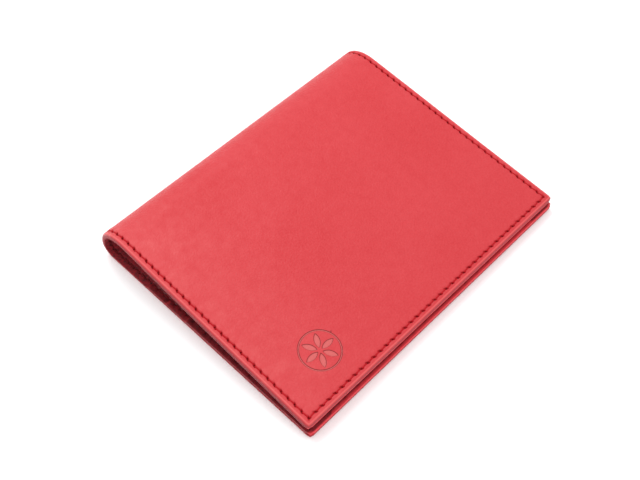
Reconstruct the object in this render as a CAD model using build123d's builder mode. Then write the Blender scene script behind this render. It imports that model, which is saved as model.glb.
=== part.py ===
"""Folding leather card holder, lying closed on its back cover.

One piece of cover leather wraps round a soft rounded fold. Each half of it is a leaf: cover, stiffener,
lining and three staggered card pockets that open towards the fold, all held by one line of stitching.
X runs from the fold to the open edge, Y runs along the fold and Z is up. Units are millimetres.
"""

import os
from math import cos, degrees, radians, sin, tan

from build123d import *

# ---- Driving dimensions ----
fold_length = 102.0  # along Y
back_width = 83.5  # from the outside of the fold to the back leaf's open edge
front_setback = 0.5  # how far the front leaf stops short of the back leaf
lower_radius = 4.1  # outside of the fold, where it turns up from the table
upper_radius = 10.4  # outside of the fold, where it rolls over into the front leaf
open_edge_height = 6.6  # top of the front cover above the table at the open edge
corner_radius = 1.2
edge_round = 0.8  # burnished edges of the cover

cover_thickness = 1.3
lining_thickness = 0.35
pocket_thickness = 0.5  # rear and middle pockets, split thin
panel_thickness = 0.8  # top pocket panel
stiffener_thickness = 0.3
layer_gap = 0.03

stitch_margin = 1.9  # stitch line in from the edges
stitch_pitch = 2.47
thread_width = 0.45
thread_thickness = 0.3
groove_width = 0.8
groove_depth = 0.35
needle_radius = 0.2

lower_bend = 80.0  # degrees of the fold's bend that open at the lower crease
middle_bend = 60.0  # and at the middle crease; the upper crease opens what is left
hinge_gap = 0.3  # slit between the rigid stretches of the fold
pocket_openings = (64.0, 56.0, 48.0)  # opening edges of the pockets, in from the leaf's open edge
pocket_bottoms = (17.0, 10.5)  # lower edges of the rear and middle pockets, in from the same edge
rear_half_width = 45.0
middle_half_width = 47.4
arm_gap = 0.05  # between one pocket's side arms and the next

mark_radius = 6.0
mark_depth = 0.15
mark_line = 0.4
mark_from_edge = 13.0  # centre of the mark, in from the front leaf's open edge
mark_from_end = 17.4  # centre of the mark, in from the end of the leaf

# ---- Worked out from them ----
half_length = fold_length / 2
lower_x = lower_radius - back_width / 2  # centres of the fold's two rounds, both at z = lower_radius
upper_x = upper_radius - back_width / 2
back_length = back_width - lower_radius  # flat of the back leaf


def front_tilt():
    """Angle, in degrees, at which the front leaf slopes down from the fold to the open edge."""
    low, high = 0.0, 30.0
    run = back_width - front_setback - upper_radius
    for _ in range(60):
        middle = (low + high) / 2
        angle = radians(middle)
        height = lower_radius + upper_radius / cos(angle) - run * tan(angle)
        low, high = (middle, high) if height > open_edge_height else (low, middle)
    return (low + high) / 2


tilt = front_tilt()
fold_sweep = 180 + tilt  # the whole bend of the fold
upper_bend = fold_sweep - lower_bend - middle_bend
lower_crease = lower_bend / 2  # each crease is in the middle of the bend that it opens
middle_crease = lower_bend + middle_bend / 2
upper_crease = fold_sweep - upper_bend / 2
tilt_sine, tilt_cosine = sin(radians(tilt)), cos(radians(tilt))
front_run = back_width - front_setback - upper_radius - upper_radius * tilt_sine
front_length = front_run / tilt_cosine

# Each leaf is drawn outer face down: x from the end of the fold's round to the open edge, z inwards.
back_leaf = Plane(origin=(lower_x, 0, 0), x_dir=(1, 0, 0), z_dir=(0, 0, 1))
front_leaf = Plane(
    origin=(upper_x + upper_radius * tilt_sine, 0, lower_radius + upper_radius * tilt_cosine),
    x_dir=(tilt_cosine, 0, -tilt_sine),
    z_dir=(-tilt_sine, 0, -tilt_cosine),
)

lining_level = cover_thickness
pocket_level = lining_level + lining_thickness
middle_rise = pocket_thickness + layer_gap
top_rise = 2 * middle_rise
row_y = half_length - stitch_margin


def fold_band(depth, thickness, first, last):
    """Sketch of a strip that follows the fold, between two turns of its bend, across Y.

    The strip starts at a depth below the outer face. Turns are in degrees from the back leaf.
    """
    quarter = 90
    with BuildSketch() as band:
        for centre, radius, low, high in (
            (lower_x, lower_radius, 0, quarter),
            (upper_x, upper_radius, quarter, fold_sweep),
        ):
            start, end = max(first, low), min(last, high)
            if end > start:
                with BuildSketch(mode=Mode.PRIVATE) as sector:
                    outer = radius - depth
                    inner = outer - thickness
                    with BuildLine():
                        outside = CenterArc((0, 0), outer, -90 - start, start - end)
                        inside = CenterArc((0, 0), inner, -90 - start, start - end)
                        Line(outside @ 0, inside @ 0)
                        Line(outside @ 1, inside @ 1)
                    make_face()
                with Locations((centre, lower_radius)):
                    add(sector.sketch)
    return band.sketch


def across(y):
    """Plane across the fold at a height y along it, with x as X and y as Z."""
    return Plane(origin=(0, y, 0), x_dir=(1, 0, 0), z_dir=(0, -1, 0))


def slit_turn(turn):
    """Half a slit at a crease, in degrees of the bend."""
    return degrees(hinge_gap / 2 / (lower_radius if turn < 90 else upper_radius))


def leaf_turns(leaf):
    """The stretch of the fold's bend that belongs to a leaf."""
    if leaf is back_leaf:
        return 0, lower_crease - slit_turn(lower_crease)
    return upper_crease + slit_turn(upper_crease), fold_sweep


def leaf_outline(length, start=0.0):
    """Outline of a full-width layer, with its two corners at the open edge rounded."""
    with BuildSketch() as outline:
        with Locations(((start + length) / 2, 0)):
            Rectangle(length - start, fold_length)
        fillet(outline.vertices().group_by(Axis.X)[-1], corner_radius)
    return outline.sketch


def finished(builder, label, cut=None):
    """Labels a finished piece, writes it and returns it."""
    builder.part.label = label
    export_step(builder.part, f"parts/{label}.step")
    return builder.part


def leaf_skin(leaf, length, level, thickness):
    """A full-width sheet of the leaf, with its own part of the fold's round."""
    outline = leaf_outline(length)
    band = fold_band(level, thickness, *leaf_turns(leaf))
    with BuildPart() as skin:
        with BuildSketch(leaf.offset(level)):
            add(outline)
        extrude(amount=thickness)
        with BuildSketch(across(0)):
            add(band)
        extrude(amount=half_length, both=True)
    return skin


def stitch_groove(leaf, length):
    """The shallow channel for the stitching, on the outer face round three sides and over the fold."""
    outer_reach, inner_reach = groove_width / 2, -groove_width / 2
    lead = 2.0
    band = fold_band(-lead, lead + groove_depth, *leaf_turns(leaf))
    with BuildPart() as groove:
        with BuildSketch(leaf.offset(-lead)):
            for reach, mode in ((outer_reach, Mode.ADD), (inner_reach, Mode.SUBTRACT)):
                far = length - stitch_margin + reach
                with Locations((far / 2, 0)):
                    Rectangle(far, 2 * (row_y + reach), mode=mode)
        extrude(amount=lead + groove_depth)
        for y in (-row_y, row_y):
            with BuildSketch(across(y)):
                add(band)
            extrude(amount=groove_width / 2, both=True)
    return groove.part


def build_cover(name, leaf, length, marked):
    """Outer leather of one leaf, hollowed for its stiffener and grooved for the stitches."""
    skin = leaf_skin(leaf, length, 0, cover_thickness)
    groove = stitch_groove(leaf, length)
    board = stiffener_outline(length)
    mark = rosette()
    open_edge = leaf.from_local_coords(Vector(length, 0, 0))
    with BuildPart() as cover:
        add(skin.part)
        rim = [edge for edge in cover.edges() if (edge.center() - open_edge).length < 0.1]
        fillet(rim, edge_round)
        with BuildSketch(leaf.offset(cover_thickness)):
            add(board)
        extrude(amount=-stiffener_thickness, mode=Mode.SUBTRACT)
        add(groove, mode=Mode.SUBTRACT)
        if marked:
            with BuildSketch(leaf):
                with Locations((length - mark_from_edge, half_length - mark_from_end)):
                    add(mark)
            extrude(amount=mark_depth, mode=Mode.SUBTRACT)
    return finished(cover, f"{name}_cover")


def rosette():
    """Plain six-petal compass figure in a ring, pressed into the front cover."""
    petal_root, petal_tip = 0.8, mark_radius - 2.5 * mark_line
    petal_arc = 0.75 * (petal_tip - petal_root)
    with BuildSketch() as figure:
        Circle(mark_radius)
        Circle(mark_radius - mark_line, mode=Mode.SUBTRACT)
        with BuildSketch(mode=Mode.PRIVATE) as petal:
            with BuildLine():
                RadiusArc((petal_root, 0), (petal_tip, 0), petal_arc)
                RadiusArc((petal_tip, 0), (petal_root, 0), petal_arc)
            make_face()
        with PolarLocations(0, 6, start_angle=30):
            add(petal.sketch)
    return figure.sketch


def stiffener_outline(length):
    """Outline of the board inside a leaf, clear of the stitches and of the fold."""
    clear_of_fold, clear_of_edge = 2.0, 3.0
    width = length - clear_of_edge - clear_of_fold
    with BuildSketch() as outline:
        with Locations((clear_of_fold + width / 2, 0)):
            Rectangle(width, fold_length - 2 * clear_of_edge)
    return outline.sketch


def build_stiffener(name, leaf, length):
    """Thin board that keeps the leaf flat, let into the flesh side of the cover."""
    with BuildPart() as stiffener:
        with BuildSketch(leaf.offset(cover_thickness)):
            add(stiffener_outline(length))
        extrude(amount=-stiffener_thickness)
    return finished(stiffener, f"{name}_stiffener")


def build_lining(name, leaf, length):
    """Thin inner skin of the leaf."""
    return finished(leaf_skin(leaf, length, lining_level, lining_thickness), f"{name}_lining")


def step_outline(end, half_width, spread):
    """Foot of a 45 degree block that covers the layers under a pocket, widened by a spread."""
    overrun = 5.0
    with BuildSketch() as foot:
        with Locations(((end + spread - overrun) / 2, 0)):
            Rectangle(end + spread + overrun, 2 * (half_width + spread))
    return foot.sketch


def build_pocket(name, leaf, outline, thickness, opening, steps=()):
    """A pocket layer stitched down at its sides, which rises over the layers under it."""
    spread = 1.4 * thickness
    mouth = Plane(origin=leaf.from_local_coords(Vector(opening, 0, 0)), z_dir=leaf.x_dir)
    with BuildPart() as pocket:
        with BuildSketch(leaf.offset(pocket_level)):
            add(outline)
        extrude(amount=thickness)
        for end, half_width, height in steps:
            with BuildSketch(leaf.offset(pocket_level)):
                add(step_outline(end, half_width, height + spread))
            extrude(amount=height + thickness, taper=45)
        for end, half_width, height in steps:
            with BuildSketch(leaf.offset(pocket_level)):
                add(step_outline(end, half_width, height))
            extrude(amount=height, taper=45, mode=Mode.SUBTRACT)
        split(bisect_by=mouth, keep=Keep.TOP)
    return finished(pocket, name)


def tee_outline(opening, arm_end, bottom, half_width):
    """Outline of a pocket whose side arms reach the stitching and whose body is narrower."""
    with BuildSketch() as outline:
        with Locations(((opening + arm_end) / 2, 0)):
            Rectangle(arm_end - opening, fold_length)
        with Locations(((opening + bottom) / 2, 0)):
            Rectangle(bottom - opening, 2 * half_width)
    return outline.sketch


def build_pockets(name, leaf, length):
    """The three card pockets of a leaf, each a step further from the fold."""
    rear, middle, top = [length - opening for opening in pocket_openings]
    rear_pocket_end, middle_pocket_end = [length - bottom for bottom in pocket_bottoms]
    over_rear = (rear_pocket_end + 0.3, rear_half_width + 0.3, middle_rise)
    over_middle = (middle_pocket_end + 0.3, middle_half_width + 0.2, middle_rise)
    over_both = (over_rear[0] + middle_rise, over_rear[1] + middle_rise, top_rise)
    return [
        build_pocket(
            f"{name}_pocket_rear",
            leaf,
            tee_outline(rear, middle - arm_gap, rear_pocket_end, rear_half_width),
            pocket_thickness,
            rear,
        ),
        build_pocket(
            f"{name}_pocket_middle",
            leaf,
            tee_outline(middle, top - arm_gap, middle_pocket_end, middle_half_width),
            pocket_thickness,
            middle,
            [over_rear],
        ),
        build_pocket(
            f"{name}_pocket_top",
            leaf,
            leaf_outline(length, top),
            panel_thickness,
            top,
            [over_middle, over_both],
        ),
    ]


def stitch_points(length):
    """Needle holes round a leaf: along both ends and along the open edge."""
    far = length - stitch_margin
    along_ends = round(far / stitch_pitch)
    along_open = round(2 * row_y / stitch_pitch)
    ends = [(far * i / along_ends, y) for i in range(along_ends) for y in (-row_y, row_y)]
    edge = [(far, -row_y + 2 * row_y * i / along_open) for i in range(along_open + 1)]
    return ends + edge


def inner_level(length, x):
    """Height of the leaf's inner face on the stitch line, at x along the leaf."""
    if x < length - pocket_openings[0]:
        return pocket_level
    return pocket_level + (pocket_thickness if x < length - pocket_openings[2] else panel_thickness)


def build_leaf_thread(name, leaf, length):
    """Lockstitch round a leaf: a run on each face, joined through the leather at every hole."""
    far = length - stitch_margin
    face_clearance = 0.03
    sink = thread_thickness - 0.1
    half = thread_width / 2
    lap = 0.3  # a raised run starts a little early, on top of the one before
    with BuildPart() as thread:
        with BuildSketch(leaf.offset(face_clearance)):
            for reach, mode in ((half, Mode.ADD), (-half, Mode.SUBTRACT)):
                with Locations(((far + reach) / 2, 0)):
                    Rectangle(far + reach, 2 * (row_y + reach), mode=mode)
        extrude(amount=thread_thickness)
        edges = (0, length - pocket_openings[0], length - pocket_openings[2], far + half)
        for first, last in zip(edges, edges[1:]):
            level = inner_level(length, first)
            start = max(first - lap, 0)
            with BuildSketch(leaf.offset(level - sink)):
                with Locations(((start + last) / 2, -row_y), ((start + last) / 2, row_y)):
                    Rectangle(last - start, thread_width)
                if last > far:
                    with Locations((far, 0)):
                        Rectangle(thread_width, 2 * row_y)
            extrude(amount=thread_thickness)
        for level in sorted({inner_level(length, x) for x, _ in stitch_points(length)}):
            points = [(x, y) for x, y in stitch_points(length) if inner_level(length, x) == level]
            with BuildSketch(leaf.offset(face_clearance)):
                with Locations(*points):
                    Circle(needle_radius)
            extrude(amount=level - face_clearance)
        for depth in (face_clearance, pocket_level - sink):
            band = fold_band(depth, thread_thickness, *leaf_turns(leaf))
            for y in (-row_y, row_y):
                with BuildSketch(across(y)):
                    add(band)
                extrude(amount=half, both=True)
    return finished(thread, f"{name}_edge_thread")


def build_pocket_thread(name, leaf, bottom, half_width):
    """Short row of stitches that holds a pocket's lower edge to the lining."""
    inset, reach = 1.2, half_width - 2.5
    count = int(2 * reach / stitch_pitch)
    run_thickness = 0.15
    with BuildPart() as thread:
        with BuildSketch(leaf.offset(pocket_level + pocket_thickness - run_thickness - 0.02)):
            with Locations((bottom - inset, 0)):
                Rectangle(thread_width, 2 * reach)
        extrude(amount=run_thickness)
        with BuildSketch(leaf.offset(lining_level + 0.1)):
            with Locations((bottom - inset, 0)):
                with GridLocations(0, stitch_pitch, 1, count):
                    Circle(needle_radius)
        extrude(amount=lining_thickness + pocket_thickness - run_thickness - 0.1)
    return finished(thread, name)


def build_fold_strip(name, first_crease, last_crease):
    """A stretch of the fold between two creases."""
    first = first_crease + slit_turn(first_crease)
    last = last_crease - slit_turn(last_crease)
    clearance = 0.03
    sink = thread_thickness - 0.1
    cover_band = fold_band(0, cover_thickness, first, last)
    groove_band = fold_band(0, groove_depth, first, last)
    lining_band = fold_band(lining_level, lining_thickness, first, last)
    with BuildPart() as cover:
        with BuildSketch(across(0)):
            add(cover_band)
        extrude(amount=half_length, both=True)
        for y in (-row_y, row_y):
            with BuildSketch(across(y)):
                add(groove_band)
            extrude(amount=groove_width / 2, both=True, mode=Mode.SUBTRACT)
    with BuildPart() as lining:
        with BuildSketch(across(0)):
            add(lining_band)
        extrude(amount=half_length, both=True)
    runs = [
        fold_band(depth, thread_thickness, first, last) for depth in (clearance, pocket_level - sink)
    ]
    holes = []
    turn = first + 8
    while turn < last - 4:
        holes.append(fold_band(clearance, pocket_level - clearance, turn - 2, turn + 2))
        radius = lower_radius if turn < 90 else upper_radius
        turn += degrees(stitch_pitch / radius)
    with BuildPart() as thread:
        for y in (-row_y, row_y):
            for run in runs:
                with BuildSketch(across(y)):
                    add(run)
                extrude(amount=thread_width / 2, both=True)
            for hole in holes:
                with BuildSketch(across(y)):
                    add(hole)
                extrude(amount=needle_radius, both=True)
    return [
        finished(cover, f"{name}_cover"),
        finished(lining, f"{name}_lining"),
        finished(thread, f"{name}_thread"),
    ]


def build_leaf(name, leaf, length, marked):
    """Every piece of one leaf."""
    pieces = [
        build_cover(name, leaf, length, marked),
        build_stiffener(name, leaf, length),
        build_lining(name, leaf, length),
        *build_pockets(name, leaf, length),
        build_leaf_thread(name, leaf, length),
    ]
    half_widths = (rear_half_width, middle_half_width)
    for row, bottom, half_width in zip(("rear", "middle"), pocket_bottoms, half_widths):
        pieces.append(build_pocket_thread(f"{name}_{row}_thread", leaf, length - bottom, half_width))
    return pieces


def crease_point(turn):
    """Where the fold hinges, on its outer face, at a turn from the back leaf."""
    centre, radius = (lower_x, lower_radius) if turn < 90 else (upper_x, upper_radius)
    angle = radians(-90 - turn)
    return centre + radius * cos(angle), lower_radius + radius * sin(angle)


os.makedirs("parts", exist_ok=True)
build_leaf("back", back_leaf, back_length, marked=False)
build_leaf("front", front_leaf, front_length, marked=True)
build_fold_strip("fold_lower", lower_crease, middle_crease)
build_fold_strip("fold_upper", middle_crease, upper_crease)
print("front leaf tilt", round(tilt, 4), "flat lengths", back_length, round(front_length, 4))
for bend, turn in ((lower_bend, lower_crease), (middle_bend, middle_crease), (upper_bend, upper_crease)):
    x, z = crease_point(turn)
    print("crease opens", round(bend, 4), "at x", round(x, 4), "z", round(z, 4))
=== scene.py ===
"""Looks of the folding leather card holder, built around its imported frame.

Every leather sheet is first laid out flat. s runs in millimetres across the cover, from the back leaf's
open edge, round the fold, to the front leaf's open edge, y runs along the fold, and depth is measured
inwards from the cover's outer face. place() folds that flat layout up into the closed card holder.
"""

from math import cos, pi, radians, sin, sqrt, tan

import bpy
import numpy as np
from mathutils import Matrix, Vector


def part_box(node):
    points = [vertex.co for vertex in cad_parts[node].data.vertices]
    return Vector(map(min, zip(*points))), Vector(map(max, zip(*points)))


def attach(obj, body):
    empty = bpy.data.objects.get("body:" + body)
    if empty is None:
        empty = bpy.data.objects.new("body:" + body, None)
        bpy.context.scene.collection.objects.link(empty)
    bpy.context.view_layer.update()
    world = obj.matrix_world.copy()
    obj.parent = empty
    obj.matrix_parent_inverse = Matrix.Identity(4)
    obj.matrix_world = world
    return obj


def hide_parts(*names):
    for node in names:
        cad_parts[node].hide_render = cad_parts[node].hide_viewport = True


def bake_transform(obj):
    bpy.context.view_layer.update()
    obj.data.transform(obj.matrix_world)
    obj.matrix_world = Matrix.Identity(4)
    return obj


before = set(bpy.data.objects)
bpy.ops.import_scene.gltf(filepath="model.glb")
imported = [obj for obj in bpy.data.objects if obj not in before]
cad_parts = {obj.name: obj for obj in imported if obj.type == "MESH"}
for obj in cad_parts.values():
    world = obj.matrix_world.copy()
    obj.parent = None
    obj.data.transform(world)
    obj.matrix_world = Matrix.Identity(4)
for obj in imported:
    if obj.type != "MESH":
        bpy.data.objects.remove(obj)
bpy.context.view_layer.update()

# ---- Dimensions, in millimetres ----
MM = 0.001
HALF_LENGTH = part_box("back_cover")[1].y / MM
OPEN_EDGE_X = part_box("back_cover")[1].x / MM
LOWER_RADIUS = 4.1  # outside of the fold, where it turns up from the table
UPPER_RADIUS = 10.4  # and where it rolls over into the front leaf
FRONT_SETBACK = 0.5
OPEN_EDGE_HEIGHT = 6.6
CORNER = 1.2
FAR_FLATTER = 0.2  # share of its height that the far end has lost
WAVE_HEIGHT = 0.16  # of the front cover's slow waves
LOWER_SEAM_TURN = radians(72)  # where the cover's pieces meet, as a turn of the small round
UPPER_SEAM_TURN = radians(50)  # and of the large one

COVER = 1.3
LINING = 0.35
POCKET = 0.5
PANEL = 0.8
BOARD = 0.3
GAP = 0.03

STITCH_MARGIN = 1.9
STITCH_PITCH = 2.47  # round the edge, the nearest pitch that fills each row evenly is used
PLY_PITCH = 0.45
THREAD_PRESSED = 0.06  # how much deeper the thread lies on the underside, which rests on the table
PUCKER_LIMIT = 0.2  # how far puckers may stand above the outer face; on the underside they may not
OPENINGS = (64.0, 56.0, 48.0)  # pocket openings, in from the leaf's open edge: rear, middle, top
BOTTOMS = (17.0, 10.5)  # lower edges of the rear and middle pockets
HALF_WIDTHS = (45.0, 47.4)  # and half their widths
ARM_GAP = 0.05

MARK_RADIUS = 6.0
MARK_LINE = 0.4
MARK_DEPTH = 0.22
MARK_BORDER = 0.16  # over which its lines rise to the face around them
MARK_FROM_EDGE = 13.0
MARK_FROM_END = 17.4

# ---- The folded section ----
LOWER_X = LOWER_RADIUS - OPEN_EDGE_X
UPPER_X = UPPER_RADIUS - OPEN_EDGE_X


def front_tilt():
    """Angle at which the front leaf slopes down from the fold to its open edge."""
    low, high = 0.0, radians(30)
    run = 2 * OPEN_EDGE_X - FRONT_SETBACK - UPPER_RADIUS
    for _ in range(60):
        angle = (low + high) / 2
        height = LOWER_RADIUS + UPPER_RADIUS / cos(angle) - run * tan(angle)
        low, high = (angle, high) if height > OPEN_EDGE_HEIGHT else (low, angle)
    return (low + high) / 2


TILT = front_tilt()
BACK_LENGTH = 2 * OPEN_EDGE_X - LOWER_RADIUS
FRONT_RUN = 2 * OPEN_EDGE_X - FRONT_SETBACK - UPPER_RADIUS - UPPER_RADIUS * sin(TILT)
FRONT_LENGTH = FRONT_RUN / cos(TILT)
LOWER_END = BACK_LENGTH + LOWER_RADIUS * pi / 2  # s where the small round meets the large one
UPPER_END = LOWER_END + UPPER_RADIUS * (pi / 2 + TILT)
TOTAL = UPPER_END + FRONT_LENGTH
ROW_Y = HALF_LENGTH - STITCH_MARGIN
LOWER_SEAM = BACK_LENGTH + LOWER_RADIUS * LOWER_SEAM_TURN
UPPER_SEAM = LOWER_END + UPPER_RADIUS * UPPER_SEAM_TURN
LINING_LEVEL = COVER
POCKET_LEVEL = COVER + LINING
RISE = POCKET + GAP


def smooth(share):
    """Eases a share from 0 to 1 with level ends."""
    share = np.clip(share, 0, 1)
    return share * share * (3 - 2 * share)


def turn_at(s):
    """The section's bend at s: 0 on the back leaf, a little over half a turn on the front leaf."""
    lower = np.clip((s - BACK_LENGTH) / LOWER_RADIUS, 0, pi / 2)
    upper = np.clip((s - LOWER_END) / UPPER_RADIUS, 0, pi / 2 + TILT)
    return lower + upper


def lie(s, y):
    """How far the leather lies off its drawn section, outwards: the slow waves of a handled cover."""
    wave = 0.5 * np.sin(0.061 * s + 0.043 * y + 0.8) + 0.5 * np.sin(0.083 * y - 0.047 * s + 2.1)
    on_front = smooth((s - UPPER_END - 4) / 25)
    return WAVE_HEIGHT * wave * on_front


def settle(s, y):
    """How far a place on the outer face has sunk, because the holder lies flatter towards its far end."""
    turn = turn_at(s)
    radius = np.where(turn > pi / 2, UPPER_RADIUS, LOWER_RADIUS)
    height = LOWER_RADIUS - radius * np.cos(turn) - np.maximum(s - UPPER_END, 0) * sin(TILT)
    return FAR_FLATTER * height * np.clip((y + HALF_LENGTH) / (2 * HALF_LENGTH), 0, 1)


def place(s, y, depth):
    """Points of the folded card holder, in metres, for a place on the flat layout."""
    s, y, depth = (np.asarray(values, float) for values in np.broadcast_arrays(s, y, depth))
    turn = turn_at(s)
    upper = turn > pi / 2
    radius = np.where(upper, UPPER_RADIUS, LOWER_RADIUS) - depth + lie(s, y)
    angle = -pi / 2 - turn
    back_run = np.maximum(BACK_LENGTH - s, 0)
    front_run = np.maximum(s - UPPER_END, 0)
    x = np.where(upper, UPPER_X, LOWER_X) + radius * np.cos(angle) + back_run + front_run * cos(TILT)
    z = LOWER_RADIUS + radius * np.sin(angle) - front_run * sin(TILT) - settle(s, y)
    return np.stack([x, y, z], -1) * MM


def from_edge(s):
    """Distance in from the nearer of the two open edges."""
    return np.minimum(s, TOTAL - s)


# ---- Stitching ----
ENDS_COUNT = round((TOTAL - 2 * STITCH_MARGIN) / STITCH_PITCH)
OPEN_COUNT = round(2 * ROW_Y / STITCH_PITCH)
ENDS_PITCH = (TOTAL - 2 * STITCH_MARGIN) / ENDS_COUNT
OPEN_PITCH = 2 * ROW_Y / OPEN_COUNT
SLANT = radians(32)  # the holes lean across the line
SLOT_REACH = (0.66, 0.27)  # of a needle slot, along and across it
SHADE_REACH = (0.72, 0.3)  # of its painted shade
CHANNEL_REACH = 0.34  # of the channel between the slots, across the line


def stitch_frame(s, y):
    """For each point: offset along the nearest stitch line from its nearest hole, and across the line.

    across is positive towards the edge. p and q are measured along and across that hole's slot.
    """
    in_s = s - STITCH_MARGIN
    hole = np.clip(np.round(in_s / ENDS_PITCH), 0, ENDS_COUNT)
    ends_along = in_s - hole * ENDS_PITCH
    ends_across = np.abs(y) - ROW_Y
    near = np.where(y < 0, y + ROW_Y, y - ROW_Y)
    hole = np.clip(np.round((y + ROW_Y) / OPEN_PITCH), 0, OPEN_COUNT)
    open_along = y + ROW_Y - hole * OPEN_PITCH
    open_across = STITCH_MARGIN - from_edge(s)
    off = np.where(s < TOTAL / 2, s - STITCH_MARGIN, s - TOTAL + STITCH_MARGIN)
    to_ends = np.hypot(ends_across, np.maximum(open_across, 0))
    to_open = np.hypot(open_across, np.maximum(ends_across, 0))
    use_ends = to_ends <= to_open
    lean_cos, lean_sin = cos(SLANT), sin(SLANT)
    along = np.where(use_ends, ends_along, open_along)
    across = np.where(use_ends, ends_across, open_across)
    beyond = (ends_across > 0) & (open_across > 0)
    across = np.where(beyond, np.hypot(ends_across, open_across), across)
    p = np.where(
        use_ends, ends_along * lean_cos - near * lean_sin, open_along * lean_cos + off * lean_sin
    )
    q = np.where(
        use_ends, ends_along * lean_sin + near * lean_cos, off * lean_cos - open_along * lean_sin
    )
    pitch = np.where(use_ends, ENDS_PITCH, OPEN_PITCH)
    return along, across, p, q, pitch


def stitch_relief(s, y, hole=0.5, channel=0.14, pucker=0.11):
    """Depth pressed into a face by the stitching: slots, a channel between them, raised puckers."""
    along, across, p, q, pitch = stitch_frame(s, y)
    slot = hole * np.exp(-(((p / SLOT_REACH[0]) ** 2 + (q / SLOT_REACH[1]) ** 2) ** 1.4))
    line = channel * np.exp(-((across / CHANNEL_REACH) ** 2))
    between = 0.5 - 0.5 * np.cos(2 * pi * along / pitch)
    inside = np.exp(-(((across + 0.85) / 0.6) ** 2))
    outside = 0.35 * np.exp(-(((across - 0.7) / 0.4) ** 2))
    return slot + line - pucker * between * (inside + outside)


def stitch_shade(s, y):
    """How deep in a needle slot or in the channel a point is, from 0 to 1: the mask for the painted shade
    there.
    """
    _, across, p, q, _ = stitch_frame(s, y)
    slot = np.exp(-(((p / SHADE_REACH[0]) ** 2 + (q / SHADE_REACH[1]) ** 2) ** 1.5))
    return np.clip(slot + 0.6 * np.exp(-((across / SHADE_REACH[1]) ** 2)), 0, 1)


# ---- The pressed mark: a plain six-petal rosette in a ring ----
MARK_S = TOTAL - MARK_FROM_EDGE
MARK_Y = MARK_FROM_END - HALF_LENGTH
PETAL_ROOT, PETAL_TIP = 0.8, MARK_RADIUS - 2.5 * MARK_LINE


def mark_cover(s, y):
    """1 inside the mark's lines, 0 outside, with soft borders."""
    radius = np.hypot(s - MARK_S, y - MARK_Y)
    sixth = pi / 3
    angle = (np.arctan2(y - MARK_Y, s - MARK_S) - sixth / 2) % sixth
    angle = np.where(angle > sixth / 2, angle - sixth, angle)
    along, across = radius * np.cos(angle), radius * np.sin(angle)
    half = (PETAL_TIP - PETAL_ROOT) / 2
    arc = 1.5 * half
    centre = sqrt(arc * arc - half * half)
    petal = np.hypot(along - PETAL_ROOT - half, np.abs(across) + centre) - arc
    ring = np.abs(radius - MARK_RADIUS + MARK_LINE / 2) - MARK_LINE / 2
    return 1 - smooth(np.minimum(petal, ring) / MARK_BORDER + 0.5)


# ---- Flat patches ----
def spaced(stops, step):
    """Coordinates that divide each stretch between stops into equal steps, none longer than step."""
    parts = [
        np.linspace(a, b, max(1, int(np.ceil((b - a) / step - 1e-6))) + 1)[:-1]
        for a, b in zip(stops, stops[1:])
    ]
    return np.concatenate(parts + [[stops[-1]]])


def halving_grid(xs, ys, finest, size_at, keep=None):
    """Vertices and faces of a patch whose cells halve until they are as small as size_at(x, y) asks."""
    full = 2**finest
    columns, rows = np.meshgrid(np.arange(len(xs) - 1), np.arange(len(ys) - 1), indexing="ij")
    cells = np.stack([columns.ravel(), rows.ravel()], 1) * full

    def spot(steps):
        x = np.interp(steps[:, 0] / full, np.arange(len(xs)), xs)
        return x, np.interp(steps[:, 1] / full, np.arange(len(ys)), ys)

    def corners_of(a, b, size):
        return [(a, b), (a + size, b), (a + size, b + size), (a, b + size)]

    if keep is not None:
        cells = cells[keep(*spot(cells + full / 2))]
    done, size = [], full
    while len(cells):
        low, high = spot(cells), spot(cells + size)
        span = np.maximum(high[0] - low[0], high[1] - low[1])
        split = (span > 1.3 * size_at(*spot(cells + size / 2))) & (size > 1)
        done += [(a, b, size) for a, b in cells[~split].tolist()]
        size //= 2
        cells = np.concatenate([cells[split] + (a, b) for a in (0, size) for b in (0, size)])
    index = {}
    for a, b, size in done:
        for corner in corners_of(a, b, size):
            index.setdefault(corner, len(index))

    def side(a, b):
        """Corner a and the vertices between it and corner b."""
        middle = ((a[0] + b[0]) // 2, (a[1] + b[1]) // 2)
        if middle in (a, b) or middle not in index:
            return [index[a]]
        return side(a, middle) + side(middle, b)

    faces = []
    for a, b, size in done:
        corners = corners_of(a, b, size)
        ends = zip(corners, corners[1:] + corners[:1])
        faces.append([vertex for start, end in ends for vertex in side(start, end)])
    keys = np.array(list(index), float)
    return np.stack(spot(keys), 1), faces


def round_corners(points, edge_s, half, radius):
    """Bends the two square corners at the open edge at edge_s to quarter circles."""
    if radius <= 0:
        return points
    inward = 1 if edge_s < TOTAL / 2 else -1
    u = 1 - (points[:, 0] - edge_s) * inward / radius
    v = 1 - (half - np.abs(points[:, 1])) / radius
    corner = (u > 0) & (v > 0)
    a, b = u[corner], v[corner]
    points[corner, 0] = edge_s + inward * radius * (1 - a * np.sqrt(1 - b * b / 2))
    bent = half - radius * (1 - b * np.sqrt(1 - a * a / 2))
    points[corner, 1] = np.sign(points[corner, 1]) * bent
    return points


def boundary(faces):
    """Directed edges that only one face has."""
    edges = {}
    for face in faces:
        for a, b in zip(face, face[1:] + face[:1]):
            edges[(a, b)] = True
    return [(a, b) for a, b in edges if (b, a) not in edges]


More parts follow.
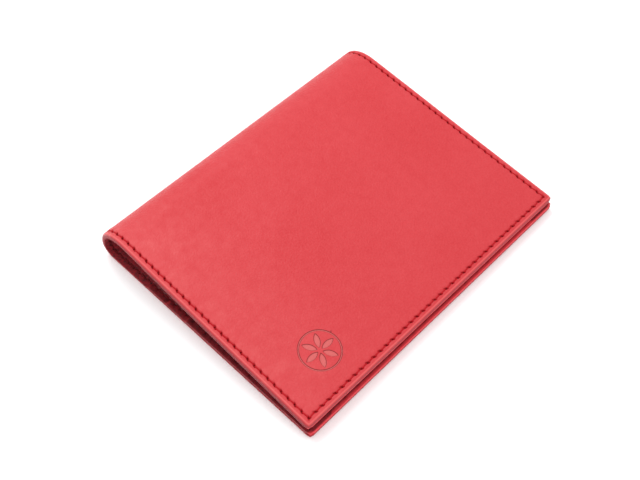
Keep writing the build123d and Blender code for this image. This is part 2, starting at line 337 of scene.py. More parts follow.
def outward(points, edges, seams):
    """For each boundary vertex, the step that moves its edges out by one unit, and none along a seam."""
    normals = {}
    for a, b in edges:
        run = points[b] - points[a]
        on_seam = any(abs(points[a][0] - s) + abs(points[b][0] - s) < 1e-6 for s in seams)
        normal = np.zeros(2) if on_seam else np.array([run[1], -run[0]]) / np.hypot(*run)
        normals.setdefault(a, []).append(normal)
        normals.setdefault(b, []).append(normal)
    out = {}
    for vertex, found in normals.items():
        total = np.sum(found, axis=0)
        kinds = [normal for normal in found if normal.any()]
        if len(kinds) == 2:
            total = total / (1 + kinds[0] @ kinds[1])
        out[vertex] = total
    return out


def rim_rings(outer_round, inner_round, steps):
    """Rings round a sheet's edge: step out, depth below the outer face, height above the inner face."""
    rings = []
    for k in range(1, steps + 1):
        angle = pi / 2 * k / steps
        rings.append((outer_round * sin(angle), outer_round * (1 - cos(angle)), None))
    for k in range(steps + 1):
        angle = pi / 2 * k / steps
        step = outer_round - inner_round * (1 - cos(angle))
        rings.append((step, None, inner_round * (1 - sin(angle))))
    return rings


def new_object(name, vertices, faces, flat=None, shades=None, flat_faces=0):
    """Mesh object in the frame, with its flat-layout coordinates and shading masks as attributes."""
    mesh = bpy.data.meshes.new(name)
    mesh.from_pydata(vertices.tolist(), [], faces)
    mesh.update()
    mesh.shade_smooth()
    if flat_faces:
        sharp = np.zeros(len(faces), bool)
        sharp[-flat_faces:] = True
        mesh.attributes.new("sharp_face", "BOOLEAN", "FACE").data.foreach_set("value", sharp)
    if flat is not None:
        layer = mesh.attributes.new("flat", "FLOAT_VECTOR", "POINT")
        layer.data.foreach_set("vector", flat.astype(np.float32).ravel())
    for label, values in (shades or {}).items():
        layer = mesh.attributes.new(label, "FLOAT", "POINT")
        layer.data.foreach_set("value", values.astype(np.float32))
    made = bpy.data.objects.new(name, mesh)
    bpy.context.scene.collection.objects.link(made)
    return made


def make_sheet(
    name,
    xs,
    ys,
    outer,
    inner,
    rounds,
    fine,
    plain,
    corner=0,
    seams=(),
    keep=None,
    shade=None,
    ends=True,
):
    """A closed sheet over a patch of the flat layout.

    outer and inner give the depths of its two faces, and rounds the radii of its edge at them. fine and
    plain say how small the cells of the outer and the inner face are. The sheet is cut square at seams.
    With ends, its edge is painted at the two ends of the fold as well as along the open edge. Without it,
    those edges stay dark: raw edges, and painted shade on those sides.
    """
    finest = 3
    edge_s = xs[0] if xs[0] < TOTAL - xs[-1] else xs[-1]
    half = ys[-1]
    top, top_faces = halving_grid(xs, ys, finest, fine, keep)
    low, low_faces = halving_grid(xs, ys, finest, plain, keep)
    edges = boundary(top_faces)
    by_place = {(round(x, 5), round(y, 5)): k for k, (x, y) in enumerate(low)}
    low_of = {v: by_place[(round(top[v][0], 5), round(top[v][1], 5))] for edge in edges for v in edge}
    top = round_corners(top, edge_s, half, corner)
    low = round_corners(low, edge_s, half, corner)
    out = outward(top, edges, seams)
    rim = sorted(out)
    at = {v: k for k, v in enumerate(rim)}
    steps = np.array([out[v] for v in rim])
    start = top[rim]
    paint = np.abs(steps[:, 0]) * np.where(from_edge(start[:, 0]) < 1.5, 1.0, 0.5)
    # Edges at the two ends of the fold get edge paint only with ends; without it they stay dark, as raw
    # edges and as painted shade on those sides.
    if ends:
        paint = np.maximum(paint, np.abs(steps[:, 1]))
    paint = np.minimum(paint, 1)
    outer_round, inner_round = rounds
    rings = rim_rings(outer_round, inner_round, 4)
    flat_parts = [np.column_stack([top, outer(*top.T)])]
    edge_parts = [np.zeros(len(top))]
    for step, below, above in rings:
        place_2d = start + steps * step
        depth = outer(*start.T) + below if above is None else inner(*start.T) - above
        flat_parts.append(np.column_stack([place_2d, depth]))
        edge_parts.append(paint * (1 if above is not None else below / outer_round))
    flat_parts.append(np.column_stack([low, inner(*low.T)]))
    painted = np.zeros(len(low))
    painted[[low_of[v] for v in rim]] = paint
    edge_parts.append(painted)
    flat = np.concatenate(flat_parts)
    edge = np.concatenate(edge_parts)
    base_low = len(top) + len(rings) * len(rim)
    faces = list(top_faces) + [[base_low + v for v in reversed(face)] for face in low_faces]
    walls, cuts = [], []
    for a, b in edges:
        cut = not out[a].any() and not out[b].any()
        cut = cut or any(abs(top[a][0] - s) + abs(top[b][0] - s) < 1e-6 for s in seams)
        row = [(a, b)]
        for k in range(len(rings)):
            base = len(top) + k * len(rim)
            row.append((base + at[a], base + at[b]))
        row.append((base_low + low_of[a], base_low + low_of[b]))
        for (a0, b0), (a1, b1) in zip(row, row[1:]):
            (cuts if cut else walls).append([b0, a0, a1, b1])
    faces += walls + cuts
    vertices = place(flat[:, 0], flat[:, 1], flat[:, 2])
    shades = {"edge": edge}
    for label, function in (shade or {}).items():
        shades[label] = function(flat) * (1 - edge)
    return new_object(name, vertices, faces, flat, shades, len(cuts))


# ---- Cell sizes ----
BASE_CELL = 0.8
FOLD_CELL = 0.4
EDGE_CELL = 0.4
ROW_CELL = 0.2  # along the rows of stitches
SLOT_CELL = 0.1  # at the needle slots and on the mark
BOARD_CELL = 3.0


def cells_across(first, last):
    """Flat-layout coordinates across the cover, closer together round the fold."""
    stops = [first] + [s for s in (BACK_LENGTH, LOWER_END, UPPER_END) if first < s < last] + [last]
    parts = []
    for a, b in zip(stops, stops[1:]):
        step = FOLD_CELL if a >= BACK_LENGTH - 1e-6 and b <= UPPER_END + 1e-6 else BASE_CELL
        parts.append(spaced([a, b], step)[:-1])
    return np.concatenate(parts + [[last]])


def stitched_size(s, y):
    """Cell size on a face that shows the stitching."""
    _, across, p, q, _ = stitch_frame(s, y)
    gap = np.abs(across)
    size = np.where(gap < 1.4, EDGE_CELL, BASE_CELL)
    size = np.where(gap < 0.75, ROW_CELL, size)
    return np.where(np.hypot(p, q) < 0.7, SLOT_CELL, size)


def edge_size(s, y, first, last, half):
    """Cell size that keeps the patch's border even, so that both faces share its vertices."""
    to_edge = np.minimum(np.minimum(s - first, last - s), half - np.abs(y))
    return np.where(to_edge < 0.45, EDGE_CELL, BASE_CELL)


def sizes_for(first, last, half, seams, marked=False, stitched=(True, False)):
    """Cell sizes of the outer and inner faces of a full-width sheet."""

    def chosen(s, y, wanted):
        size = edge_size(s, y, first, last, half)
        near_seam = np.zeros(len(s), bool)
        for seam in seams:
            near_seam |= np.abs(s - seam) < 1.0
        fine = np.minimum(size, stitched_size(s, y))
        return fine if wanted else np.where(near_seam, fine, size)

    def outer(s, y):
        size = chosen(s, y, stitched[0])
        if marked:
            reach = np.hypot(s - MARK_S, y - MARK_Y)
            size = np.where(reach < MARK_RADIUS + 0.4, np.minimum(size, SLOT_CELL), size)
        return size

    def inner(s, y):
        return chosen(s, y, stitched[1])

    return outer, inner


# ---- Materials ----
def srgb(red, green, blue):
    """Linear colour from sRGB values between 0 and 255."""
    values = [c / 255 for c in (red, green, blue)]
    linear = [c / 12.92 if c <= 0.04045 else ((c + 0.055) / 1.055) ** 2.4 for c in values]
    return (*linear, 1.0)


def feed(tree, socket, value):
    """Sets a socket to a plain value, or links another node's output to it."""
    if isinstance(value, bpy.types.NodeSocket):
        tree.links.new(value, socket)
    else:
        socket.default_value = value


def add_node(tree, kind, inputs=None, **settings):
    """New shader node with its settings and its inputs, which are values or other nodes' outputs."""
    made = tree.nodes.new("ShaderNode" + kind)
    for key, value in settings.items():
        setattr(made, key, value)
    for key, value in (inputs or {}).items():
        feed(tree, made.inputs[key], value)
    return made


def new_material(name, **shader):
    """Material with a Principled shader whose plain values are set directly."""
    material = bpy.data.materials.new(name)
    material.use_nodes = True
    tree = material.node_tree
    principled = tree.nodes["Principled BSDF"]
    for key, value in shader.items():
        principled.inputs[key.replace("_", " ")].default_value = value
    return material, tree, principled


def attribute(tree, name, output):
    return add_node(tree, "Attribute", attribute_name=name, attribute_type="GEOMETRY").outputs[output]


def noise(tree, where, scale, detail=3.0, roughness=0.5):
    """Noise from 0 to 1; scale is in cycles per millimetre of the flat layout."""
    inputs = {"Vector": where, "Scale": scale, "Detail": detail, "Roughness": roughness}
    return add_node(tree, "TexNoise", inputs).outputs["Fac"]


def remap(tree, value, low, high, to_low=0.0, to_high=1.0):
    inputs = {"Value": value, "From Min": low, "From Max": high, "To Min": to_low, "To Max": to_high}
    return add_node(tree, "MapRange", inputs).outputs["Result"]


def mix_colour(tree, factor, first, second):
    made = add_node(tree, "Mix", data_type="RGBA", blend_type="MIX")
    for index, value in ((0, factor), (6, first), (7, second)):
        feed(tree, made.inputs[index], value)
    return made.outputs[2]


def combine(tree, operation, first, second):
    made = add_node(tree, "Math", operation=operation)
    for socket, value in zip(made.inputs, (first, second)):
        feed(tree, socket, value)
    return made.outputs[0]


def tinted(tree, colour, tone, mask, amount):
    """A colour that turns towards tone by amount where mask is 1."""
    return mix_colour(tree, combine(tree, "MULTIPLY", mask, amount), colour, tone)


def bump(tree, height, distance, strength=1.0, below=None):
    inputs = {"Height": height, "Distance": distance, "Strength": strength}
    if below is not None:
        inputs["Normal"] = below
    return add_node(tree, "Bump", inputs).outputs["Normal"]


def grain_height(tree, where):
    """Fine pebbled leather grain with hair pores, from 0 to 1."""
    warp = add_node(tree, "TexNoise", {"Vector": where, "Scale": 0.9, "Detail": 2.0}).outputs["Color"]
    moved = add_node(tree, "VectorMath", {0: where, 1: warp}, operation="ADD").outputs[0]
    cells = add_node(
        tree, "TexVoronoi", {"Vector": moved, "Scale": 2.0}, feature="SMOOTH_F1"
    ).outputs["Distance"]
    pebble = remap(tree, cells, 0.0, 0.75, 1.0, 0.0)
    fibre = noise(tree, where, 5.0, 4.0, 0.6)
    coarse = combine(tree, "MULTIPLY", pebble, 0.6)
    return combine(tree, "ADD", coarse, combine(tree, "MULTIPLY", fibre, 0.4))


def cover_leather():
    """Smooth aniline leather, mottled red with a fine grain.

    It is paler at the near end, a painted glow with pale painted-highlight blotches. It has painted shade
    towards the front leaf's open edge and in the stitch slots, darker cut edges, and a painted highlight
    on the crest where the face rolls over into the edge.
    """
    material, tree, shader = new_material(
        "cover_leather", Specular_IOR_Level=0.35, Sheen_Weight=0.1, Sheen_Roughness=0.3
    )
    where = attribute(tree, "flat", "Vector")
    base = srgb(189, 38, 44)
    light = srgb(199, 58, 64)
    deep = srgb(175, 24, 34)
    cloud = remap(tree, noise(tree, where, 0.035, 2.0), 0.35, 0.65)
    mottle = remap(tree, noise(tree, where, 0.35, 4.0, 0.6), 0.3, 0.7)
    speck = remap(tree, noise(tree, where, 1.7, 3.0, 0.7), 0.35, 0.65)
    spot = add_node(tree, "SeparateXYZ", {0: where})
    # Painted glow: the leather is paler towards the near end, where the lights sheen on it.
    near_end_glow = remap(tree, spot.outputs[1], -22.0, -50.0)
    # Painted shade: darker towards the front leaf's open edge, where the light falls off.
    shaded = remap(tree, spot.outputs[0], 100.0, TOTAL)
    colour = tinted(tree, base, light, cloud, 0.45)
    colour = tinted(tree, colour, srgb(172, 34, 40), shaded, 0.35)
    colour = tinted(tree, colour, srgb(202, 78, 80), near_end_glow, 0.32)
    # Painted highlight: pale blotches within the near end's painted glow.
    glow_blotches = combine(tree, "MULTIPLY", near_end_glow, remap(tree, noise(tree, where, 0.16, 3.0, 0.6), 0.5, 0.62))
    colour = tinted(tree, colour, srgb(210, 98, 96), glow_blotches, 0.2)
    colour = tinted(tree, colour, deep, mottle, 0.34)
    colour = tinted(tree, colour, light, speck, 0.42)
    # Painted shade in the needle slots and in the channel between them.
    colour = mix_colour(tree, attribute(tree, "slot_shade", "Fac"), colour, srgb(168, 3, 14))
    press = attribute(tree, "press", "Fac")
    border = combine(tree, "MULTIPLY", press, combine(tree, "SUBTRACT", 1.0, press))
    colour = tinted(tree, colour, srgb(196, 108, 104), press, 0.5)
    colour = tinted(tree, colour, srgb(110, 5, 14), border, 3.8)
    edge = attribute(tree, "edge", "Fac")
    # Painted highlight on the crest where the face rolls over into the edge.
    crest_highlight = combine(tree, "MULTIPLY", remap(tree, edge, 0.0, 0.04), remap(tree, edge, 0.24, 0.1))
    colour = tinted(tree, colour, srgb(224, 110, 108), crest_highlight, 0.4)
    side = remap(tree, edge, 0.14, 0.6)
    colour = tinted(tree, colour, srgb(136, 22, 32), side, 0.85)
    tree.links.new(colour, shader.inputs["Base Color"])
    rough = remap(tree, mottle, 0.0, 1.0, 0.46, 0.6)
    rough = remap(tree, edge, 0.0, 0.2, rough, 0.34)
    rough = remap(tree, edge, 0.3, 0.9, rough, 0.6)
    tree.links.new(rough, shader.inputs["Roughness"])
    tree.links.new(bump(tree, grain_height(tree, where), 0.00012, 0.9), shader.inputs["Normal"])
    return material


def pocket_leather():
    """The same hide, split thin for the pockets: a little more matt, and darker than the cover, partly as
    painted shade for the inside of the holder.
    """
    material, tree, shader = new_material("pocket_leather", Roughness=0.58)
    where = attribute(tree, "flat", "Vector")
    mottle = remap(tree, noise(tree, where, 1.7, 4.0, 0.7), 0.35, 0.65)
    # Darker than the cover: partly the hide's own tone, partly painted shade for the inside of the
    # holder.
    colour = mix_colour(tree, mottle, srgb(98, 6, 16), srgb(150, 15, 29))
    # Painted shade in the needle slots.
    colour = mix_colour(tree, attribute(tree, "slot_shade", "Fac"), colour, srgb(60, 2, 10))
    edge = remap(tree, attribute(tree, "edge", "Fac"), 0.3, 0.8)
    colour = mix_colour(tree, edge, colour, srgb(206, 44, 54))
    tree.links.new(colour, shader.inputs["Base Color"])
    tree.links.new(bump(tree, grain_height(tree, where), 0.00003, 0.6), shader.inputs["Normal"])
    return material


def lining_leather():
    """Suede-like split lining, dark red and mottled."""
    material, tree, shader = new_material("lining_suede", Roughness=0.85)
    where = attribute(tree, "flat", "Vector")
    mottle = remap(tree, noise(tree, where, 1.6, 4.0, 0.7), 0.36, 0.64)
    nap = noise(tree, where, 6.0, 4.0, 0.7)
    colour = mix_colour(tree, mottle, srgb(58, 1, 8), srgb(164, 14, 30))
    colour = tinted(tree, colour, srgb(180, 50, 62), nap, 0.3)
    # Painted shade in the needle slots.
    colour = mix_colour(tree, attribute(tree, "slot_shade", "Fac"), colour, srgb(60, 2, 10))
    edge = remap(tree, attribute(tree, "edge", "Fac"), 0.3, 0.8)
    colour = mix_colour(tree, edge, colour, srgb(196, 40, 50))
    tree.links.new(colour, shader.inputs["Base Color"])
    tree.links.new(bump(tree, nap, 0.00012, 0.8), shader.inputs["Normal"])
    return material


def board():
    """Grey bookbinding board."""
    material, tree, shader = new_material("stiffener_board", Roughness=0.9)
    where = attribute(tree, "flat", "Vector")
    fleck = noise(tree, where, 3.0, 4.0, 0.7)
    colour = mix_colour(tree, fleck, srgb(150, 146, 138), srgb(188, 184, 174))
    tree.links.new(colour, shader.inputs["Base Color"])
    tree.links.new(bump(tree, fleck, 0.00005, 0.5), shader.inputs["Normal"])
    return material


def thread():
    """Waxed thread whose ply shows as slanting ridges, with painted shade in its slots and inside the
    holder.

    flat holds the length, the turn and the depth of a stitch here, not a place on the flat layout.
    """
    material, tree, shader = new_material("thread", Roughness=0.6, Specular_IOR_Level=0.15)
    where = attribute(tree, "flat", "Vector")
    parts = add_node(tree, "SeparateXYZ", {0: where})
    twist = combine(tree, "MULTIPLY", parts.outputs[0], 2 * pi / PLY_PITCH)
    phase = combine(tree, "ADD", twist, parts.outputs[1])
    ply = combine(tree, "SINE", phase, 0.0)
    ply = remap(tree, ply, -1.0, 1.0)
    # Painted shade where the stitch dives into its slot.
    deep = remap(tree, parts.outputs[2], 0.1, 0.42)
    colour = mix_colour(tree, ply, srgb(160, 8, 20), srgb(180, 14, 28))
    colour = mix_colour(tree, deep, colour, srgb(116, 2, 12))
    # Painted shade on the stitches inside the holder.
    colour = tinted(tree, colour, srgb(84, 6, 14), attribute(tree, "inside", "Fac"), 0.8)
    tree.links.new(colour, shader.inputs["Base Color"])
    tree.links.new(bump(tree, ply, 0.00004, 0.8), shader.inputs["Normal"])
    return material


def floor_paper():
    """Seamless white studio paper."""
    material, tree, shader = new_material("floor_paper", Roughness=0.9)
    where = add_node(tree, "TexCoord").outputs["Object"]
    tone = noise(tree, where, 3.0, 2.0)
    colour = mix_colour(tree, tone, srgb(251, 251, 252), srgb(254, 254, 254))
    tree.links.new(colour, shader.inputs["Base Color"])
    return material


LEATHER = cover_leather()
POCKET_LEATHER = pocket_leather()
LINING_SUEDE = lining_leather()
BOARD_GREY = board()
THREAD = thread()


# ---- Pieces ----
EDGE_ROUND = 0.9  # how far the cover's edge is rounded at its outer face
EDGE_UNDER = 0.1  # and at its inner face
FACE_LIFT = 0.01  # keeps the touching faces of two leathers apart
STRETCHES = (
    ("back", 0.0, LOWER_SEAM, ("back_leaf", "fold_lower")),
    ("fold", LOWER_SEAM, UPPER_SEAM, ("fold_lower", "fold_upper")),
    ("front", UPPER_SEAM, TOTAL, ("fold_upper", "front_leaf")),
)
CAD_NODES = {
    "back": ("back_{}",),
    "fold": ("fold_lower_{}",),
    "front": ("fold_upper_{}", "front_{}"),
}
BEND_STOPS = {
    "back": (BACK_LENGTH, LOWER_SEAM),
    "fold": (LOWER_SEAM, UPPER_SEAM),
    "front": (UPPER_SEAM, UPPER_END),
}


def follow_fold(piece, stretch):
    """Bakes a piece's placement into its mesh; the ends of its stretch's bend are worked out, but nothing
    uses them.
    """
    start, end = (Vector(place(s, 0.0, 0.0)) for s in BEND_STOPS[stretch])
    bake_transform(piece)


def full_width(stretch, inset):
    """First and last s of a full-width sheet in a stretch, and where it is cut."""
    _, first, last, _ = next(row for row in STRETCHES if row[0] == stretch)
    seams = [s for s in (first, last) if 0 < s < TOTAL]
    first = inset if first == 0 else first
    last = TOTAL - inset if last == TOTAL else last
    return first, last, seams


def make_covers():
    half = HALF_LENGTH - EDGE_ROUND
    for stretch, *_ in STRETCHES:
        first, last, seams = full_width(stretch, EDGE_ROUND)
        marked = stretch == "front"
        fine, plain = sizes_for(first, last, half, seams, marked)

        def outer(s, y, marked=marked):
            depth = stitch_relief(s, y)
            depth = np.maximum(depth, -PUCKER_LIMIT * smooth((s - BACK_LENGTH) / 3))
            return depth + MARK_DEPTH * mark_cover(s, y) if marked else depth

        def inner(s, y):
            return np.full(len(s), COVER)

        shade = {
            "slot_shade": lambda flat: stitch_shade(flat[:, 0], flat[:, 1]) * (flat[:, 2] < COVER / 2),
            "press": lambda flat: mark_cover(flat[:, 0], flat[:, 1]) * (flat[:, 2] < COVER / 2),
        }
        piece = make_sheet(
            f"cover_{stretch}",
            cells_across(first, last),
            spaced([-half, half], BASE_CELL),
            outer,
            inner,
            (EDGE_ROUND, EDGE_UNDER),
            fine,
            plain,
            corner=CORNER - EDGE_ROUND,
            seams=seams,
            shade=shade,
        )
        piece.data.materials.append(LEATHER)
        follow_fold(piece, stretch)
        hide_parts(*(name.format("cover") for name in CAD_NODES[stretch]))
        whole_first, whole_last = full_width(stretch, 0)[:2]


def make_linings():
    rim, inset = 0.06, 0.02
    half = HALF_LENGTH - rim - inset
    for stretch, *_ in STRETCHES:
        first, last, seams = full_width(stretch, rim + inset)
        fine, plain = sizes_for(first, last, half, seams, stitched=(False, True))

        def outer(s, y):
            return np.full(len(s), LINING_LEVEL + FACE_LIFT)

        def inner(s, y):
            open_face = smooth((from_edge(s) - OPENINGS[0] - 0.5) / 0.8)
            return POCKET_LEVEL - open_face * stitch_relief(s, y, 0.25, 0.08, 0.05)

        shade = {
            "slot_shade": lambda flat: stitch_shade(flat[:, 0], flat[:, 1]) * (flat[:, 2] > LINING_LEVEL + 0.1)
        }
        piece = make_sheet(
            f"lining_{stretch}",
            cells_across(first, last),
            spaced([-half, half], BASE_CELL),
            outer,
            inner,
            (rim, rim),
            fine,
            plain,
            corner=CORNER - rim - inset,
            seams=seams,
            shade=shade,
            ends=False,
        )
        piece.data.materials.append(LINING_SUEDE)
        follow_fold(piece, stretch)
        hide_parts(*(name.format("lining") for name in CAD_NODES[stretch]))
        whole_first, whole_last = full_width(stretch, 0)[:2]


def covering(s, y, bottom, half, ramp=1.0):
    """1 over a lower pocket, falling to 0 just past its bottom and sides."""
    beside = smooth((half + 0.2 + ramp - np.abs(y)) / ramp)
    below = smooth((from_edge(s) - bottom + 0.2 + ramp) / ramp)
    return beside * below


def rise_of(layer, s, y):
    """How far a pocket layer is lifted by the ones under it."""
    rear = covering(s, y, BOTTOMS[0], HALF_WIDTHS[0])
    middle = covering(s, y, BOTTOMS[1], HALF_WIDTHS[1])
    if layer == "rear":
        return np.zeros(len(s))
    if layer == "middle":
        return RISE * rear
    return RISE * (covering(s, y, BOTTOMS[0] - 0.6, HALF_WIDTHS[0] + 0.6) + middle)


def make_pocket(side, layer):
    """One pocket layer of a leaf, stitched down round its margins and free at its mouth."""
    row = ("rear", "middle", "top").index(layer)
    thickness = PANEL if layer == "top" else POCKET
    rim, inset = 0.15, 0.02
    mouth = OPENINGS[row] - rim
    half = HALF_LENGTH - rim - inset
    if layer == "top":
        stops = [rim + inset, mouth]
        breadths = [-half, half]
        keep = None
    else:
        arm_end = OPENINGS[row + 1] + ARM_GAP + rim
        body = HALF_WIDTHS[row] - rim
        stops = [BOTTOMS[row] + rim, arm_end, mouth]
        breadths = [-half, -body, body, half]

        def keep(s, y):
            return (from_edge(s) > arm_end) | (np.abs(y) < body)

    if side == "front":
        stops = [TOTAL - stop for stop in reversed(stops)]

    def outer(s, y):
        return POCKET_LEVEL + FACE_LIFT + rise_of(layer, s, y)

    def inner(s, y):
        dent = stitch_relief(s, y, 0.3, 0.1, 0.06)
        return POCKET_LEVEL + thickness + rise_of(layer, s, y) - dent

    def size(s, y):
        inward = from_edge(s)
        to_bottom = np.minimum(np.abs(inward - BOTTOMS[0]), np.abs(inward - BOTTOMS[1]))
        size = np.where(np.abs(np.abs(y) - HALF_WIDTHS[0] - 1) < 3.5, EDGE_CELL, 2 * BASE_CELL)
        size = np.where(to_bottom < 1.8, EDGE_CELL, size)
        near_line = np.abs(stitch_frame(s, y)[1]) < 0.8
        return np.where(near_line, ROW_CELL, size)

    shade = {
        "slot_shade": lambda flat: stitch_shade(flat[:, 0], flat[:, 1])
        * (flat[:, 2] > POCKET_LEVEL + thickness * 0.6)
    }
    piece = make_sheet(
        f"{side}_{layer}_pocket",
        spaced(stops, 2 * BASE_CELL),
        spaced(breadths, 2 * BASE_CELL),
        outer,
        inner,
        (rim, rim),
        size,
        size,
        corner=CORNER - rim - inset if layer == "top" else 0,
        keep=keep,
        shade=shade,
        ends=False,
    )
    piece.data.materials.append(POCKET_LEATHER)
    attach(piece, f"{side}_leaf")
    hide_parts(f"{side}_pocket_{layer}")
    width = 2 * HALF_LENGTH
    if layer == "top":
        tall, area = OPENINGS[2], OPENINGS[2] * width
    else:
        tall = OPENINGS[row] - BOTTOMS[row]
        arm = OPENINGS[row] - OPENINGS[row + 1]
        area = arm * width + (tall - arm) * 2 * HALF_WIDTHS[row]


def make_board(side):
    """Board let into the flesh side of the cover."""
    rim, clear_of_edge, clear_of_fold = 0.08, 3.0, 2.0
    length = BACK_LENGTH if side == "back" else FRONT_LENGTH
    stops = [clear_of_edge + rim, length - clear_of_fold - rim]
    if side == "front":
        stops = [TOTAL - stop for stop in reversed(stops)]
    half = HALF_LENGTH - clear_of_edge - rim

    def size(s, y):
        return np.full(len(s), BOARD_CELL)

    piece = make_sheet(
        f"{side}_board",
        spaced(stops, BOARD_CELL),
        spaced([-half, half], BOARD_CELL),
        lambda s, y: np.full(len(s), COVER - BOARD),
        lambda s, y: np.full(len(s), COVER - 0.02),
        (rim, rim),
        size,
        size,
        corner=1.0,
    )
    piece.data.materials.append(BOARD_GREY)
    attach(piece, f"{side}_leaf")
    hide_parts(f"{side}_stiffener")


# ---- Thread ----
STRAND_RADIUS = 0.19
STRAND_SIDES = 8
STRAND_RINGS = 11
FOOT_MARGIN = 1.2  # from the foot of a pocket to its row of stitches
FOOT_INSET = 2.5  # and from its side to the row's end


def face_level(s, face):
    """Depth of the face that a run of stitches lies on."""
    if face == "outer":
        return 0.0
    inward = from_edge(s)
    if inward > OPENINGS[0]:
        return POCKET_LEVEL
    return POCKET_LEVEL + (POCKET if inward > OPENINGS[2] else PANEL)


def strand(start, end, level, inwards):
    """One stitch: vertices on the flat layout and its own length, turn and depth, then its faces.

    It dives into the slots at both ends. inwards is 1 where the face looks out, -1 where it looks in.
    """
    start, end = np.array(start), np.array(end)
    run = end - start
    length = np.hypot(*run)
    run /= length
    left = np.array([-run[1], run[0]])
    points, notes = [], []
    for k in range(STRAND_RINGS):
        t = k / (STRAND_RINGS - 1)
        dive = abs(2 * t - 1) ** 5
        centre = start + run * length * (0.04 + 0.92 * t) + left * 0.12 * (2 * t - 1)
        depth = 0.1 + 0.42 * dive
        radius = STRAND_RADIUS * (1 - 0.35 * dive)
        for m in range(STRAND_SIDES):
            angle = 2 * pi * m / STRAND_SIDES
            spot = centre + left * radius * cos(angle)
            sink = depth - radius * sin(angle) * 0.85
            points.append((*spot, level + inwards * sink))
            notes.append((t * length, angle, sink))
    faces = []
    for k in range(STRAND_RINGS - 1):
        for m in range(STRAND_SIDES):
            a, b = k * STRAND_SIDES + m, k * STRAND_SIDES + (m + 1) % STRAND_SIDES
            faces.append([a, b, b + STRAND_SIDES, a + STRAND_SIDES])
    faces.append(list(range(STRAND_SIDES))[::-1])
    faces.append([(STRAND_RINGS - 1) * STRAND_SIDES + m for m in range(STRAND_SIDES)])
    if inwards < 0:
        faces = [face[::-1] for face in faces]
    return points, notes, faces


def make_strands(name, runs):
    """One object of many stitches. runs holds (start, end, level, inwards)."""
    points, notes, faces, inside = [], [], [], []
    for run in runs:
        new_points, new_notes, new_faces = strand(*run)
        inside += [run[3] < 0] * len(new_points)
        faces += [[vertex + len(points) for vertex in face] for face in new_faces]
        points += new_points
        notes += new_notes
    points, notes = np.array(points), np.array(notes)
    vertices = place(points[:, 0], points[:, 1], points[:, 2])
    piece = new_object(name, vertices, faces, notes, {"inside": np.array(inside, float)})
    piece.data.materials.append(THREAD)
    return piece


def edge_runs():
    """The stitches on both faces: along the two ends of the fold, then along the two open edges."""
    lines = []
    for y in (-ROW_Y, ROW_Y):
        holes = [(STITCH_MARGIN + k * ENDS_PITCH, y) for k in range(ENDS_COUNT + 1)]
        lines.append(holes)
    for s in (STITCH_MARGIN, TOTAL - STITCH_MARGIN):
        lines.append([(s, -ROW_Y + k * OPEN_PITCH) for k in range(OPEN_COUNT + 1)])
    runs = []
    for holes in lines:
        for start, end in zip(holes, holes[1:]):
            middle = (start[0] + end[0]) / 2
            pressed = THREAD_PRESSED if middle < BACK_LENGTH else 0
            runs.append((start, end, face_level(middle, "outer") + pressed, 1))
            runs.append((start, end, face_level(middle, "inner"), -1))
    return runs


def make_threads():
    runs = edge_runs()
    for stretch, first, last, _ in STRETCHES:
        mine = [run for run in runs if first < (run[0][0] + run[1][0]) / 2 <= last]
        piece = make_strands(f"edge_stitches_{stretch}", mine)
        follow_fold(piece, stretch)
        names = {"back": ["back_edge_thread"], "fold": ["fold_lower_thread"]}
        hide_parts(*names.get(stretch, ["fold_upper_thread", "front_edge_thread"]))
    for side in ("back", "front"):
        for row, layer in enumerate(("rear", "middle")):
            inward = BOTTOMS[row] + FOOT_MARGIN
            s = inward if side == "back" else TOTAL - inward
            reach = HALF_WIDTHS[row] - FOOT_INSET
            count = int(2 * reach / STITCH_PITCH)
            ys = [-count * STITCH_PITCH / 2 + k * STITCH_PITCH for k in range(count + 1)]
            level = POCKET_LEVEL + POCKET
            mine = [((s, a), (s, b), level, -1) for a, b in zip(ys, ys[1:])]
            piece = make_strands(f"{side}_{layer}_stitches", mine)
            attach(piece, f"{side}_leaf")
            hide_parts(f"{side}_{layer}_thread")


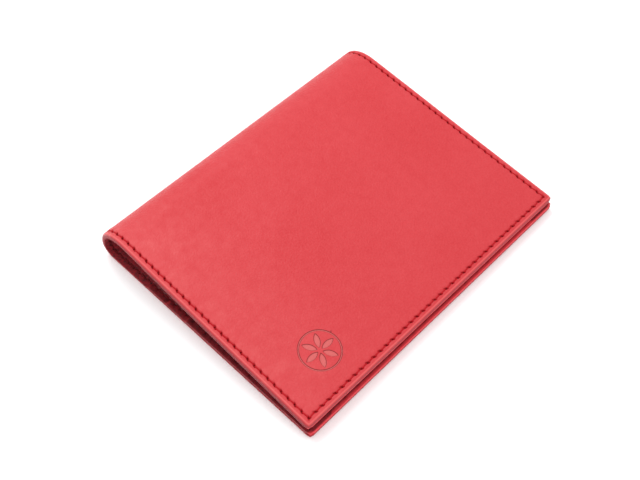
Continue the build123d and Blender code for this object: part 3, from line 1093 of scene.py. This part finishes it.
# ---- Studio ----
def make_camera():
    """Three-quarter view from above, from the corner of the near end and the open edge."""
    azimuth, elevation = radians(44.16), radians(56.17)
    distance, focal = 0.2953, 57.06
    target = Vector((0.00044, -0.0049, 0.0))
    back = Vector((sin(azimuth) * cos(elevation), -cos(azimuth) * cos(elevation), sin(elevation)))
    right = (-back).cross(Vector((0, 0, 1))).normalized()
    up = right.cross(-back)
    data = bpy.data.cameras.new("camera")
    data.lens = focal
    data.clip_start = 0.01
    camera = bpy.data.objects.new("camera", data)
    axes = Matrix((right, up, back)).transposed()
    camera.matrix_world = Matrix.Translation(target + back * distance) @ axes.to_4x4()
    bpy.context.scene.collection.objects.link(camera)
    bpy.context.scene.camera = camera


def make_light(name, place_at, size, power):
    """Square softbox aimed at the card holder."""
    data = bpy.data.lights.new(name, "AREA")
    data.size = size
    data.energy = power
    lamp = bpy.data.objects.new(name, data)
    lamp.location = place_at
    lamp.rotation_euler = (-Vector(place_at)).to_track_quat("-Z", "Y").to_euler()
    bpy.context.scene.collection.objects.link(lamp)


def make_studio():
    """White floor and sky, a softbox above the fold's side and a low fill at the open edge."""
    reach, count = 2.0, 20
    ticks = np.linspace(-reach, reach, count + 1)
    grid = [(x, y, 0.0) for x in ticks for y in ticks]
    row = count + 1
    faces = [
        (i * row + j, (i + 1) * row + j, (i + 1) * row + j + 1, i * row + j + 1)
        for i in range(count)
        for j in range(count)
    ]
    floor = new_object("floor", np.array(grid), faces)
    floor.data.materials.append(floor_paper())
    world = bpy.data.worlds.new("studio")
    world.use_nodes = True
    sky = world.node_tree.nodes["Background"]
    sky.inputs["Color"].default_value = (1, 1, 1, 1)
    sky.inputs["Strength"].default_value = 1.08
    bpy.context.scene.world = world
    bpy.context.scene.view_settings.view_transform = "Standard"
    make_light("left_overhead", (-0.42, 0.08, 0.7), 0.4, 3.0)
    make_light("right_fill", (0.7, -0.05, 0.35), 0.5, 1.0)


make_camera()
make_studio()
make_covers()
make_linings()
for side in ("back", "front"):
    make_board(side)
    for layer in ("rear", "middle", "top"):
        make_pocket(side, layer)
make_threads()
